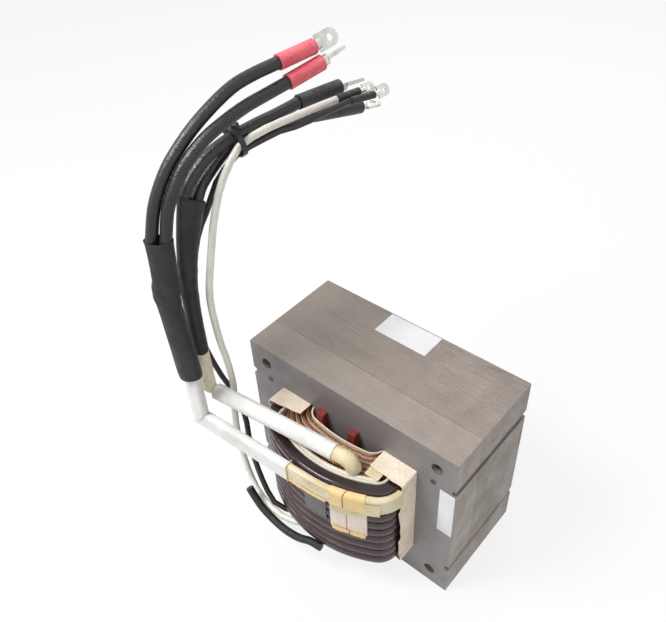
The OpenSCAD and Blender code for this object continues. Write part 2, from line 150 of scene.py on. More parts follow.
class Graph:
    """A node tree with short calls to add and join its nodes."""

    def __init__(self, tree: bpy.types.NodeTree) -> None:
        """Keeps the tree.

        Args:
            tree: the tree that takes the nodes.
        """
        self.tree = tree

    def add(self, kind: str, **values: object) -> bpy.types.Node:
        """Adds one node and sets its properties.

        Args:
            kind: the node's type name.
            values: property values by name.

        Returns:
            The new node.
        """
        node = self.tree.nodes.new(kind)
        for key, value in values.items():
            setattr(node, key, value)
        return node

    def join(self, source: Socket, target: Socket) -> None:
        """Joins an output to an input."""
        self.tree.links.new(source, target)

    def math(self, operation: str, first: object, second: object) -> Socket:
        """Adds a Math node of two values or sockets.

        Args:
            operation: what it works out.
            first: its first value.
            second: its second value, which some operations ignore.

        Returns:
            The result.
        """
        node = self.add("ShaderNodeMath", operation=operation)
        self._feed(node.inputs[0], first)
        self._feed(node.inputs[1], second)
        return node.outputs[0]

    def _feed(self, slot: Socket, value: object) -> None:
        """Gives an input a value.

        Args:
            slot: the input.
            value: a socket to join to it, or a fixed value.
        """
        if isinstance(value, Socket):
            self.join(value, slot)
        else:
            slot.default_value = value

    def mix(self, kind: str, share: Socket, first: object, second: object) -> Socket:
        """Mixes two colours, each a socket or a fixed colour.

        Args:
            kind: the blend type.
            share: how much of the second colour shows.
            first: the colour underneath.
            second: the colour on top.

        Returns:
            The mixed colour.
        """
        node = self.add("ShaderNodeMix", data_type="RGBA", blend_type=kind)
        self.join(share, node.inputs["Factor"])
        self._feed(node.inputs["A"], first)
        self._feed(node.inputs["B"], second)
        return node.outputs["Result"]

    def ramp(self, value: Socket, low: float, high: float) -> Socket:
        """Turns a value to 0 at low and 1 at high, with a straight rise or fall between them.

        Args:
            value: the value to turn.
            low: where the result is 0.
            high: where the result is 1.

        Returns:
            The result, 0 to 1.
        """
        node = self.add("ShaderNodeMapRange")
        node.inputs["From Min"].default_value = min(low, high)
        node.inputs["From Max"].default_value = max(low, high)
        node.inputs["To Min"].default_value = 0.0 if low < high else 1.0
        node.inputs["To Max"].default_value = 1.0 if low < high else 0.0
        self.join(value, node.inputs["Value"])
        return node.outputs["Result"]

    def moved(self, place: Socket, kind: str, value: Point) -> Socket:
        """Turns or scales coordinates, so that a pattern runs another way.

        Args:
            place: the coordinates.
            kind: Rotation, in radians, or Scale.
            value: the turn or scale along X, Y and Z.

        Returns:
            The new coordinates.
        """
        node = self.add("ShaderNodeMapping")
        node.inputs[kind].default_value = value
        self.join(place, node.inputs["Vector"])
        return node.outputs["Vector"]

    def noise(self, place: Socket, scale: Socket, detail: float, roughness: float = 0.5) -> Socket:
        """Adds a noise.

        Args:
            place: the coordinates that it follows.
            scale: how close it lies.
            detail: how many finer layers it has.
            roughness: how strong those layers are.

        Returns:
            The noise, 0 to 1.
        """
        node = self.add("ShaderNodeTexNoise")
        node.inputs["Detail"].default_value = detail
        node.inputs["Roughness"].default_value = roughness
        self.join(place, node.inputs["Vector"])
        self.join(scale, node.inputs["Scale"])
        return node.outputs["Fac"]

    def axes(self, vector: Socket) -> bpy.types.NodeOutputs:
        """Splits a vector.

        Args:
            vector: the vector.

        Returns:
            The outputs X, Y and Z.
        """
        node = self.add("ShaderNodeSeparateXYZ")
        self.join(vector, node.inputs["Vector"])
        return node.outputs

    def effect(self, tree: bpy.types.NodeTree, place: Socket, scale: float) -> bpy.types.NodeOutputs:
        """Places a shared effect.

        Args:
            tree: the effect's node group.
            place: the coordinates that it follows.
            scale: how close its pattern lies.

        Returns:
            The outputs of the effect.
        """
        node = self.add("ShaderNodeGroup", node_tree=tree)
        self.join(place, node.inputs["Vector"])
        node.inputs["Scale"].default_value = scale
        return node.outputs


class EffectLibrary:
    """Node groups shared by the finishes."""

    def __init__(self) -> None:
        """Builds each group once."""
        self.grime = self._grime()
        self.lines = self._lines()
        self.weave = self._weave()
        self.sheets = self._sheets()

    @staticmethod
    def _group(name: str, outputs: tuple[str, ...]) -> tuple[Graph, Socket, Socket, bpy.types.NodeInputs]:
        """Makes an empty group with Vector and Scale inputs.

        Args:
            name: the group's name.
            outputs: names of its float outputs.

        Returns:
            The group's graph, the two inputs as its nodes see them, and where its results go.
        """
        tree = bpy.data.node_groups.new(name, "ShaderNodeTree")
        tree.interface.new_socket("Vector", in_out="INPUT", socket_type="NodeSocketVector")
        scale = tree.interface.new_socket("Scale", in_out="INPUT", socket_type="NodeSocketFloat")
        scale.default_value = 1.0
        for output in outputs:
            tree.interface.new_socket(output, in_out="OUTPUT", socket_type="NodeSocketFloat")
        g = Graph(tree)
        source = g.add("NodeGroupInput").outputs
        return g, source["Vector"], source["Scale"], g.add("NodeGroupOutput").inputs

    def _grime(self) -> bpy.types.NodeTree:
        """Builds soft blotches and fine specks.

        Returns:
            A group that gives Blotch and Speck, both 0 to 1.
        """
        g, place, scale, results = self._group("Handling grime", ("Blotch", "Speck"))
        for result, (close, low, high) in zip(results, ((38.0, 0.38, 0.66), (620.0, 0.42, 0.70))):
            noise = g.noise(place, g.math("MULTIPLY", scale, close), 5.0, 0.6)
            g.join(g.ramp(noise, low, high), result)
        return g.tree

    def _lines(self) -> bpy.types.NodeTree:
        """Builds close parallel lines across the vector's X.

        Returns:
            A group that gives Line and Wander, both 0 to 1.
        """
        g, place, scale, results = self._group("Parallel lines", ("Line", "Wander"))
        wave = g.add("ShaderNodeTexWave", wave_type="BANDS", bands_direction="X", wave_profile="SIN")
        wave.inputs["Distortion"].default_value = 1.2
        wave.inputs["Detail"].default_value = 2.0
        wave.inputs["Detail Scale"].default_value = 0.4
        g.join(place, wave.inputs["Vector"])
        g.join(scale, wave.inputs["Scale"])
        g.join(wave.outputs["Fac"], results["Line"])
        along = g.moved(place, "Scale", (1.0, 0.03, 0.03))
        g.join(g.noise(along, g.math("MULTIPLY", scale, 2.4), 4.0), results["Wander"])
        return g.tree

    def _weave(self) -> bpy.types.NodeTree:
        """Builds crossed threads.

        Returns:
            A group that gives Height and Gap, both 0 to 1.
        """
        g, place, scale, results = self._group("Crossed threads", ("Height", "Gap"))
        waves = []
        for direction in ("DIAGONAL", "Z"):
            wave = g.add("ShaderNodeTexWave", wave_type="BANDS", bands_direction=direction)
            wave.inputs["Distortion"].default_value = 0.6
            g.join(place, wave.inputs["Vector"])
            g.join(scale, wave.inputs["Scale"])
            waves.append(wave.outputs["Fac"])
        g.join(g.math("MAXIMUM", *waves), results["Height"])
        g.join(g.math("MULTIPLY", *(g.math("SUBTRACT", 1.0, w) for w in waves)), results["Gap"])
        return g.tree

    def _sheets(self) -> bpy.types.NodeTree:
        """Builds the edges of stacked sheets that follow each other along Y.

        Returns:
            A group that gives Line, the fine stripe of each sheet, Pack, the slow change from
            pack to pack, and Streak, a run of wear along the sheets.
        """
        g, place, scale, results = self._group("Stacked sheets", ("Line", "Pack", "Streak"))
        settings = (((0.04, 1.0, 0.04), 760.0, 0.34, 0.66), ((0.0, 1.0, 0.0), 70.0, 0.40, 0.62),
                    ((0.12, 1.0, 0.12), 330.0, 0.42, 0.70))
        for result, (squeeze, close, low, high) in zip(results, settings):
            noise = g.noise(g.moved(place, "Scale", squeeze), g.math("MULTIPLY", scale, close), 3.0)
            g.join(g.ramp(noise, low, high), result)
        return g.tree


class FinishShop:
    """Turns a finish into a Blender material, once for each name."""

    def __init__(self) -> None:
        """Starts with the shared effects and no material."""
        self.effects = EffectLibrary()
        self.made: dict[str, bpy.types.Material] = {}

    def material(self, name: str) -> bpy.types.Material:
        """Finds the material of a finish, and builds it on first use.

        Args:
            name: the finish's name.

        Returns:
            The material.
        """
        if name not in self.made:
            self.made[name] = self._build(FINISHES[name])
        return self.made[name]

    def dress(self, node: str, finish: str) -> None:
        """Gives a CAD node's object a finish.

        Args:
            node: the CAD node's name.
            finish: the finish's name.
        """
        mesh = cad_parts[node].data
        mesh.materials.clear()
        mesh.materials.append(self.material(finish))

    def _build(self, f: Finish) -> bpy.types.Material:
        """Builds the node tree of one finish.

        Args:
            f: the finish.

        Returns:
            The finished material.
        """
        mat = bpy.data.materials.new("finish_" + f.name)
        mat.use_nodes = True
        mat.diffuse_color = (*f.colour, 1.0)
        g = Graph(mat.node_tree)
        shader = mat.node_tree.nodes["Principled BSDF"]
        shader.inputs["Metallic"].default_value = f.metallic
        shader.inputs["Coat Weight"].default_value = f.coat
        shader.inputs["Coat Roughness"].default_value = 0.15
        place = g.add("ShaderNodeTexCoord").outputs["Object"]
        grime = g.effect(self.effects.grime, place, f.scale)
        mask, height, worn = self._pattern(g, f, place, grime)
        blend = g.mix("MIX", mask, (*f.colour, 1.0), (*f.shade, 1.0))
        stained = g.mix("MIX", worn, blend, (*f.stain, 1.0))
        soiled = g.math("MULTIPLY", grime["Blotch"], f.dirt)
        dirt = g.mix("MULTIPLY", soiled, stained, SOIL_TINT)
        g.join(dirt, shader.inputs["Base Color"])
        rough = g.add("ShaderNodeMapRange")
        rough.inputs["To Min"].default_value = max(0.05, f.roughness - f.spread / 2)
        rough.inputs["To Max"].default_value = min(1.0, f.roughness + f.spread)
        g.join(grime["Blotch"], rough.inputs["Value"])
        g.join(rough.outputs["Result"], shader.inputs["Roughness"])
        bump = g.add("ShaderNodeBump")
        bump.inputs["Strength"].default_value = f.bump
        bump.inputs["Distance"].default_value = 0.0006
        g.join(height, bump.inputs["Height"])
        g.join(bump.outputs["Normal"], shader.inputs["Normal"])
        return mat

    @staticmethod
    def _thread(g: Graph, across: Socket, middle: float, half: float) -> Socket:
        """Marks one thin thread that crosses the piece.

        Args:
            g: the material's graph.
            across: X, in metres.
            middle: the thread's X, in metres.
            half: half of its width, in metres.

        Returns:
            1 on the thread and 0 off it.
        """
        apart = g.math("ABSOLUTE", g.math("SUBTRACT", across, middle), 0.0)
        return g.ramp(apart, half * 1.4, half * 0.6)

    def _stack(self, g: Graph, place: Socket, grime: bpy.types.NodeOutputs, scale: float) -> Masks:
        """Draws sheet edges on the flanks and top, and plain sheet on the front and rear.

        Args:
            g: the material's graph.
            place: object coordinates.
            grime: the outputs of the grime effect.
            scale: how close the sheets lie.

        Returns:
            The mask between colour and shade, the height, and the mask of the plain sheet.
        """
        normal = g.axes(g.add("ShaderNodeNewGeometry").outputs["Normal"])
        where = g.axes(place)
        sheets = g.effect(self.effects.sheets, place, scale)
        edge = g.ramp(g.math("ABSOLUTE", normal["Y"], 0.0), 0.8, 0.3)
        tone = g.math("ADD", g.math("MULTIPLY", sheets["Line"], 0.15), 0.06)
        tone = g.math("ADD", tone, g.math("MULTIPLY", sheets["Pack"], 0.06))
        rear = g.ramp(where["Y"], PACK_JOINT_Y - 0.0013, PACK_JOINT_Y + 0.001)
        tone = g.math("ADD", tone, g.math("MULTIPLY", rear, 0.24))
        joint = g.math("ABSOLUTE", g.math("SUBTRACT", where["Y"], PACK_JOINT_Y), 0.0)
        tone = g.math("ADD", tone, g.math("MULTIPLY", g.ramp(joint, 0.0009, 0.0003), 0.3))
        rust = g.math("MULTIPLY", g.ramp(where["Y"], 0.040, 0.058), sheets["Streak"])
        rust = g.math("MULTIPLY", rust, g.ramp(where["X"], -0.04, 0.05))
        tone = g.math("ADD", tone, g.math("MULTIPLY", rust, 0.4))
        speck = g.math("MULTIPLY", grime["Speck"], 0.26)
        mask = g.math("ADD", tone, speck)
        height = g.math("ADD", g.math("MULTIPLY", edge, sheets["Line"]), speck)
        return mask, height, g.math("SUBTRACT", 1.0, g.math("MULTIPLY", edge, 0.94))

    def _pattern(self, g: Graph, f: Finish, place: Socket, grime: bpy.types.NodeOutputs) -> Masks:
        """Builds the masks and the bump height of a finish.

        Args:
            g: the material's graph.
            f: the finish.
            place: object coordinates.
            grime: the outputs of the grime effect.

        Returns:
            The mask between colour and shade, the height, and the mask of the stain.
        """
        speck, blotch = grime["Speck"], grime["Blotch"]
        faint = g.math("MULTIPLY", g.math("MULTIPLY", speck, blotch), 0.5)
        where = g.axes(place)
        if f.pattern is Pattern.STACK:
            return self._stack(g, place, grime, f.scale)
        if f.pattern is Pattern.STRANDS:
            up = g.moved(place, "Rotation", (0.0, math.pi / 2, 0.0))
            lines = g.effect(self.effects.lines, up, TURN_LINES * f.scale)
            # Painted shade: the grooves between turns take the enamel's near-black second colour, with a
            # few specks added, and the same groove mask sets the turns' bump.
            groove_and_painted_shade = g.ramp(lines["Line"], 0.30, 0.04)
            mask = g.math("ADD", g.math("MULTIPLY", groove_and_painted_shade, 0.75), g.math("MULTIPLY", speck, 0.15))
            return mask, g.math("SUBTRACT", 1.0, groove_and_painted_shade), g.math("MULTIPLY", faint, 0.6)
        if f.pattern is Pattern.WIRE:
            up = g.moved(place, "Rotation", (0.0, math.pi / 2, 0.0))
            lines = g.effect(self.effects.lines, up, WIRE_LINES * f.scale)
            return g.math("MULTIPLY", lines["Wander"], 0.9), speck, faint
        if f.pattern is Pattern.BRAID:
            threads = g.effect(self.effects.weave, place, WEAVE_THREADS * f.scale)
            worn = faint
            if f.name == "yellow_tape":
                worn = self._thread(g, where["X"], YELLOW_THREAD_X, 0.0005)
            mask = g.math("ADD", g.math("MULTIPLY", threads["Gap"], 0.75), g.math("MULTIPLY", blotch, 0.2))
            return mask, threads["Height"], worn
        if f.pattern is Pattern.BEAD:
            along = g.moved(place, "Rotation", (0.0, 0.0, -math.pi / 2))
            lines = g.effect(self.effects.lines, along, BEAD_LINES * f.scale)
            return lines["Wander"], lines["Line"], g.math("MULTIPLY", blotch, 0.5)
        if f.pattern is Pattern.TAPE:
            lines = g.effect(self.effects.lines, place, TAPE_LINES * f.scale)
            red = self._thread(g, where["X"], WHITE_THREAD_X, 0.0006)
            return g.math("MULTIPLY", lines["Line"], 0.5), g.math("ADD", lines["Line"], blotch), red
        if f.pattern is Pattern.TINNED:
            return g.math("MULTIPLY", blotch, 0.7), speck, faint
        soft = g.math("ADD", g.math("MULTIPLY", speck, 0.4), g.math("MULTIPLY", blotch, 0.3))
        return soft, g.math("ADD", speck, g.math("MULTIPLY", blotch, 3.0)), faint


def deselect() -> None:
    """Leaves nothing selected, so that an operator acts on one piece."""
    for item in bpy.context.selected_objects:
        item.select_set(False)


def settle(
    piece: bpy.types.Object, material: bpy.types.Material, name: str, angle: float
) -> bpy.types.Object:
    """Finishes a new piece: place applied, shading, material, body.

    Args:
        piece: the new object.
        material: its material.
        name: its name.
        angle: largest angle in degrees that is shaded smooth.

    Returns:
        The same object.
    """
    deselect()
    piece.select_set(True)
    bpy.context.view_layer.objects.active = piece
    bpy.ops.object.transform_apply(location=True, rotation=True, scale=True)
    bpy.ops.object.shade_smooth_by_angle(angle=math.radians(angle))
    piece.name = name
    piece.data.materials.clear()
    piece.data.materials.append(material)
    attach(piece, ROOT)
    return piece


def apply_modifiers(piece: bpy.types.Object) -> None:
    """Applies every modifier of a piece in order.

    Args:
        piece: the piece.
    """
    deselect()
    piece.select_set(True)
    bpy.context.view_layer.objects.active = piece
    for modifier in list(piece.modifiers):
        bpy.ops.object.modifier_apply(modifier=modifier.name)


def turn_outwards() -> None:
    """Makes every face of the active closed mesh point outwards."""
    bpy.ops.object.mode_set(mode="EDIT")
    bpy.ops.mesh.select_all(action="SELECT")
    bpy.ops.mesh.normals_make_consistent(inside=False)
    bpy.ops.object.mode_set(mode="OBJECT")


def thicken(piece: bpy.types.Object, thick: float) -> None:
    """Gives a bare sheet its thickness, half to each side.

    Args:
        piece: the sheet.
        thick: its thickness in millimetres.
    """
    piece.data.update()
    body = piece.modifiers.new("thickness", "SOLIDIFY")
    body.thickness = thick / PER_METRE
    body.offset = 0.0
    apply_modifiers(piece)
    turn_outwards()


def smooth_line(route: list[Point], count: int, inside: float = 0.0) -> list[Vector]:
    """Draws a smooth curve through a route and divides it evenly.

    Args:
        route: the points that it passes, in millimetres.
        count: how many points come back.
        inside: how far it starts before the first point, in millimetres.

    Returns:
        Evenly spaced points, in metres.
    """
    ctrl = [Vector(p) / PER_METRE for p in route]
    if inside:
        ctrl.insert(0, ctrl[0] + (ctrl[0] - ctrl[1]).normalized() * inside / PER_METRE)
    ctrl = [2 * ctrl[0] - ctrl[1], *ctrl, 2 * ctrl[-1] - ctrl[-2]]
    fine: list[Vector] = []
    for a, b, c, d in zip(ctrl, ctrl[1:], ctrl[2:], ctrl[3:]):
        for step in range(CURVE_STEPS):
            t = step / CURVE_STEPS
            square, cube = (2 * a - 5 * b + 4 * c - d) * t * t, (3 * b - a - 3 * c + d) * t ** 3
            fine.append(0.5 * (2 * b + (c - a) * t + square + cube))
    fine.append(ctrl[-2].copy())
    reach = [0.0]
    for a, b in zip(fine, fine[1:]):
        reach.append(reach[-1] + (b - a).length)
    line: list[Vector] = []
    for k in range(count):
        goal = reach[-1] * k / (count - 1)
        i = next((j for j in range(1, len(reach)) if reach[j] >= goal - 1e-9), len(reach) - 1)
        span = reach[i] - reach[i - 1] or 1.0
        line.append(fine[i - 1].lerp(fine[i], (goal - reach[i - 1]) / span))
    return line


def round_curve(name: str, line: list[Vector], diameter: float, facets: int) -> bpy.types.Object:
    """Makes a curve with a round section and closed ends.

    Args:
        name: the object's name.
        line: its centreline, in metres.
        diameter: its diameter, in millimetres.
        facets: the fineness of its section.

    Returns:
        The curve object.
    """
    data = bpy.data.curves.new(name, "CURVE")
    data.dimensions = "3D"
    data.bevel_depth = diameter / 2 / PER_METRE
    data.bevel_resolution = facets
    data.use_fill_caps = True
    spline = data.splines.new("POLY")
    spline.points.add(len(line) - 1)
    for target, point in zip(spline.points, line):
        target.co = (*point, 1.0)
    item = bpy.data.objects.new(name, data)
    bpy.context.scene.collection.objects.link(item)
    return item


class Assembly:
    """A group of pieces that are built in order and reported."""

    def make(self, shop: FinishShop) -> None:
        """Builds and reports every piece of every list that the assembly holds.

        Args:
            shop: the source of materials.
        """
        for pieces in vars(self).values():
            for piece in pieces:
                piece.make(shop)
                LOG.info("piece %s", piece.name)


@dataclass
class Cable:
    """One free cord: its route in millimetres, its size and what ends it."""

    name: str
    node: str
    route: list[Point]
    diameter: float
    finish: str
    pieces: list[str]
    points: int = 34
    inside: float = 0.0

    def make(self, shop: FinishShop) -> bpy.types.Object:
        """Args:
            shop: the source of materials.

        Returns:
            The curve object.
        """
        line = smooth_line(self.route, self.points, self.inside)
        cord = round_curve(self.name, line, self.diameter, 5)
        cord.data.splines[0].use_smooth = True
        cord.data.materials.append(shop.material(self.finish))
        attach(cord, ROOT)
        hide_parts(self.node)
        return cord


@dataclass
class CableBundle(Assembly):
    """The four power cables and the two thin wires."""

    cables: list[Cable] = field(default_factory=lambda: [
        Cable("power_cable_a", "cable_a", [
              (-129, -130, 359), (-128, -121, 385), (-126, -105, 409), (-123, -85, 427), (-120, -65, 440),
              (-117, -40, 451), (-114, -20, 455), (-110, 6, 457)], 10.4, "cable",
              ["cable_sleeve_a", "lug_a"], 34, 5.0),
        Cable("power_cable_b", "cable_b", [
              (-120, -123, 359), (-118.5, -115, 385), (-116, -98, 409), (-113, -78, 424), (-110, -58, 432),
              (-108, -36, 437), (-105, -14, 440), (-103, 8, 442)], 10.4, "cable",
              ["cable_sleeve_b", "lug_b"], 34, 5.0),
        Cable("power_cable_c", "cable_c", [
              (-131, -91, 375.7), (-130.5, -84, 386), (-129, -70, 397), (-127, -54, 404), (-124, -36, 408),
              (-121, -14, 410), (-118, 8, 411), (-115, 30, 413)], 10.4, "cable",
              ["cable_sleeve_c", "lug_c"], 34, 5.0),
        Cable("power_cable_d", "cable_d_tube", [
              (-131, -79, 367.3), (-132, -71, 377), (-132, -54, 388), (-129, -38, 398), (-126, -16, 400),
              (-124, 3, 399), (-121, 24, 398), (-117, 50, 393)], 10.4, "cable",
              ["cable_sleeve_d", "lug_d"], 34, 5.0),
        Cable("sense_wire_cream", "cream_wire", [
              (-18, -104, 38), (-30, -110, 37.5), (-45, -113.6, 38), (-62, -113, 39), (-83, -109, 43),
              (-96, -106, 62), (-103, -105, 98), (-111, -99, 130), (-116, -90, 165), (-116, -92, 204),
              (-118, -94, 229), (-119, -95, 275), (-116, -92, 305), (-114, -87, 329), (-116, -80, 346),
              (-117, -70, 367), (-117, -62, 381), (-117, -50, 394), (-118, -37, 402), (-111.5, -14, 408),
              (-105, 10, 410), (-99, 36, 411), (-95, 56, 411)], 6.5, "cream",
              ["cream_sleeve", "cream_lug"], 40),
        Cable("sense_wire_black", "black_wire", [
              (-34, -99, 37.3), (-44, -104.5, 38.5), (-52, -108.3, 42.3), (-60, -110, 47.5),
              (-70, -107, 53), (-81, -105, 76), (-89, -103, 108), (-104, -92, 134), (-124, -86, 147),
              (-136, -88, 166), (-144, -92, 196), (-150, -93, 224), (-146, -91, 262), (-143, -86, 302),
              (-138, -79, 332), (-129, -70, 358), (-126, -63, 374), (-122, -50, 388), (-121, -36, 394),
              (-114, -18, 399), (-107, -2, 403), (-99, 14, 404), (-93, 34, 407), (-85, 62, 410)],
              5.6, "cable", ["black_sleeve", "ring_lug"], 40),
    ])


class Piece:
    """A mesh piece: its own class shapes it, and this one finishes it."""

    name: str
    finish: str
    smooth_angle = 40.0

    def shape(self) -> bpy.types.Object:
        """Builds the bare mesh.

        Returns:
            The new object.
        """
        raise NotImplementedError

    def make(self, shop: FinishShop) -> bpy.types.Object:
        """Builds the piece and finishes it.

        Args:
            shop: the source of materials.

        Returns:
            The piece.
        """
        deselect()
        return settle(self.shape(), shop.material(self.finish), self.name, self.smooth_angle)


class Substitute(Piece):
    """A mesh piece that is shown in place of a CAD node, if it names one."""

    node: str

    def make(self, shop: FinishShop) -> bpy.types.Object:
        """Builds the piece, finishes it and puts it in place of its CAD node.

        Args:
            shop: the source of materials.

        Returns:
            The piece.
        """
        piece = super().make(shop)
        if self.node:
            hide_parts(self.node)
        return piece


@dataclass
class JointSleeve(Substitute):
    """A shrink sleeve or cover, as oval rings in millimetres.

    Each ring has a centre, a long and a short half width, and a slope across the short one. The
    folds lie about the widest ring below the joint's top.
    """

    name: str
    node: str
    rings: list[Ring]
    turn: float
    finish: str = "shrink"
    joint_top: float = 310.0
    fold_reach: float = 22.0
    ridge_reach: float = 5.0
    ridge_rise: float = 3.0
    ridge_height: float = 1.6
    ridge_angle: float = -20.0
    smooth_angle = 60.0

    def sections(self) -> list[Ring]:
        """Adds close pairs at both rims and a mouth that the cables enter.

        Returns:
            The rings from foot to mouth.
        """
        (c0, a0, b0, s0), (c1, a1, b1, s1) = self.rings[0], self.rings[-1]
        low = ((0, 0.5), (0, 0), (0.5, 0))
        high = ((-3.0, -0.5), (-0.6, -1.1), (0, -1.2), (0, -0.8), (0, -0.4), (-0.8, -0.3), (-7.0, 0.1),
                (-7.0, 0.8))
        foot = [((c0[0], c0[1], c0[2] + d), a0 - inset, b0 - inset, s0) for d, inset in low]
        rim = [((c1[0], c1[1], c1[2] + d), a1 - inset, b1 - inset, s1) for d, inset in high]
        return [*foot, *self.rings[1:-1], *rim]

    def shape(self) -> bpy.types.Object:
        """Builds the sleeve from a circle extruded through its oval sections.

        Returns:
            The sleeve.
        """
        step = 0.01
        bpy.ops.mesh.primitive_circle_add(vertices=24, radius=step, fill_type="NGON")
        piece = bpy.context.object
        sections = self.sections()
        bpy.ops.object.mode_set(mode="EDIT")
        for _ in sections[1:]:
            bpy.ops.mesh.extrude_region_move(TRANSFORM_OT_translate={"value": (0.0, 0.0, step)})
        turn_outwards()
        levels: dict[int, list[bpy.types.MeshVertex]] = {}
        for vert in piece.data.vertices:
            levels.setdefault(round(vert.co.z / step), []).append(vert)
        turn = math.radians(self.turn)
        for level, (centre, long_half, short_half, slope) in enumerate(sections):
            for vert in levels[level]:
                angle = math.atan2(vert.co.y, vert.co.x)
                u, v = long_half * math.cos(angle), short_half * math.sin(angle)
                x, y = u * math.cos(turn) - v * math.sin(turn), u * math.sin(turn) + v * math.cos(turn)
                vert.co = (Vector(centre) + Vector((x, y, -slope * y))) / PER_METRE
        piece.data.update()
        crease = piece.modifiers.new("soften", "SUBSURF")
        crease.levels = crease.render_levels = 2
        apply_modifiers(piece)
        self.wrinkle(piece)
        return piece

    def wrinkle(self, piece: bpy.types.Object) -> None:
        """Presses shallow folds and one ridge into the shrunk wall, near the joint inside it.

        Args:
            piece: the sleeve.
        """
        lump = max(self.rings, key=lambda ring: ring[0][2] < self.joint_top and ring[1])[0]
        for vert in piece.data.vertices:
            point = vert.co * PER_METRE
            off = Vector((point.x - lump[0], point.y - lump[1], 0.0))
            if not off.length:
                continue
            angle = math.atan2(off.y, off.x)
            near = math.exp(-(((point.z - lump[2]) / self.fold_reach) ** 2))
            aside = ((angle - math.radians(self.ridge_angle)) / 0.5) ** 2
            spot = math.exp(-(((point.z - lump[2] - self.ridge_rise) / self.ridge_reach) ** 2) - aside)
            fine, wide = math.sin(0.55 * point.z + 3 * angle), math.sin(0.21 * point.z + 5 * angle)
            push = near * (0.35 * fine + 0.25 * wide)
            vert.co += off.normalized() * (push + self.ridge_height * spot) / PER_METRE


@dataclass
class Liner(Substitute):
    """A slot liner: one sheet bent to a channel, with loose wavy edges, sizes in millimetres.

    The edges are loose beyond Y = free, and flat within one corner of the two bends.
    """

    name: str
    node: str
    side: int
    taper: float
    reach: float = 79.0
    free: float = 60.0
    corner: float = 6.0
    inner: float = 44.0
    outer: float = 80.0
    low: float = 40.0
    high: float = 160.0
    thick: float = 0.8
    finish: str = "liner"
    smooth_angle = 35.0

    def profile(self, share: float) -> tuple[float, float, float]:
        """Finds a place on the bent section.

        Args:
            share: how far along the section it is, 0 to 1.

        Returns:
            X, Z and the sheet's half width there.
        """
        flap, wall = self.outer - self.inner, self.high - self.low
        run = share * (2 * flap + wall)
        half = self.thick / 2
        if run < flap:
            near = run / flap
            return self.inner + run - half * near, self.high - half, self.reach - self.taper * (1 - near)
        if run < flap + wall:
            drop = (run - flap) * (wall - self.thick) / wall
            return self.outer - half, self.high - half - drop, self.reach
        near = 1 - (run - flap - wall) / flap
        return self.inner + flap * near - half * near, self.low + half, self.reach - self.taper * (1 - near)

    def shape(self) -> bpy.types.Object:
        """Bends a fine grid to the channel and lets its free edges wave.

        Returns:
            The liner.
        """
        bpy.ops.mesh.primitive_grid_add(x_subdivisions=190, y_subdivisions=64, size=2.0)
        piece = bpy.context.object
        for vert in piece.data.vertices:
            u, v = (vert.co.x + 1) / 2, vert.co.y
            x, z, half = self.profile(u)
            free = max(0.0, (abs(v) * half - self.free) / (self.reach - self.free)) ** 2
            phase = 1.7 * self.side + (2.0 if v > 0 else 0.0)
            upright = 1.0 if self.low + self.corner < z < self.high - self.corner else 0.0
            x -= free * upright * (1.0 + math.sin(z * 0.11 + phase) + 0.5 * math.sin(z * 0.29))
            y = v * half + free * (0.7 * math.sin(z * 0.13 + phase) + 0.35 * math.sin(x * 0.4 + z * 0.41))
            vert.co = Vector((self.side * x, y, z)) / PER_METRE
        thicken(piece, self.thick)
        return piece


@dataclass
class SmoothTube(Substitute):
    """A stiff round tube through points in millimetres, in place of a CAD node."""

    name: str
    node: str
    points: list[Point]
    diameter: float
    finish: str
    smooth_angle = 50.0

    def shape(self) -> bpy.types.Object:
        """Draws the tube as a round curve, turns it into a mesh and closes its ends.

        Returns:
            The tube.
        """
        piece = round_curve(self.name, smooth_line(self.points, 34), self.diameter, 6)
        deselect()
        piece.select_set(True)
        bpy.context.view_layer.objects.active = piece
        bpy.ops.object.convert(target="MESH")
        piece = bpy.context.object
        bpy.ops.object.mode_set(mode="EDIT")
        bpy.ops.mesh.select_all(action="SELECT")
        bpy.ops.mesh.remove_doubles(threshold=0.00001)
        turn_outwards()
        return piece


@dataclass
class TapePatch(Piece):
    """A thin tape lying on the coil's front or along the outer lead, sizes in millimetres.

    The distance runs along the lead's outer face: positive on the straight run towards the cables,
    negative round the coil's front arc. Three waves of different closeness make the ripples.
    """

    name: str
    finish: str
    span: tuple[float, float]
    heights: tuple[float, float]
    out: float
    thick: float = 0.35
    ripple: float = 0.25
    slant: float = 0.0

    def place(self, along: float, height: float, out: float) -> Vector:
        """Finds a point beside the outer lead.

        Args:
            along: the distance along the run.
            height: its Z.
            out: the distance off the coil.

        Returns:
            The point, in millimetres.
        """
        turn = LEAD_START - min(along, 0.0) / FRONT_RADIUS
        radius = FRONT_RADIUS + out
        foot = Vector((math.sin(turn) * radius, FRONT_CENTRE_Y - math.cos(turn) * radius, height))
        return foot + Vector((-math.cos(LEAD_START), -math.sin(LEAD_START), 0.0)) * max(along, 0.0)

    def shape(self) -> bpy.types.Object:
        """Lays a grid on the run, ripples it and gives it a thickness.

        Returns:
            The tape.
        """
        bpy.ops.mesh.primitive_grid_add(x_subdivisions=60, y_subdivisions=26, size=2.0)
        piece = bpy.context.object
        for vert in piece.data.vertices:
            u, v = (vert.co.x + 1) / 2, (vert.co.y + 1) / 2
            wave = math.sin(9.0 * u + 4.0 * v) * math.sin(5.0 * v + 2.0 * u + self.out)
            edge = 0.35 * math.sin(31.0 * u) * math.sin(13.0 * u + 1.0)
            along = self.span[0] + (self.span[1] - self.span[0]) * u + 0.5 * math.sin(17.0 * v)
            height = self.heights[0] + (self.heights[1] - self.heights[0]) * v + self.slant * u + edge
            lift = 0.6 * self.ripple * math.sin(57.0 * u + 21.0 * v) * math.sin(33.0 * v)
            vert.co = self.place(along, height, self.out + self.ripple * (1 + wave) + lift) / PER_METRE
        thicken(piece, self.thick)
        return piece


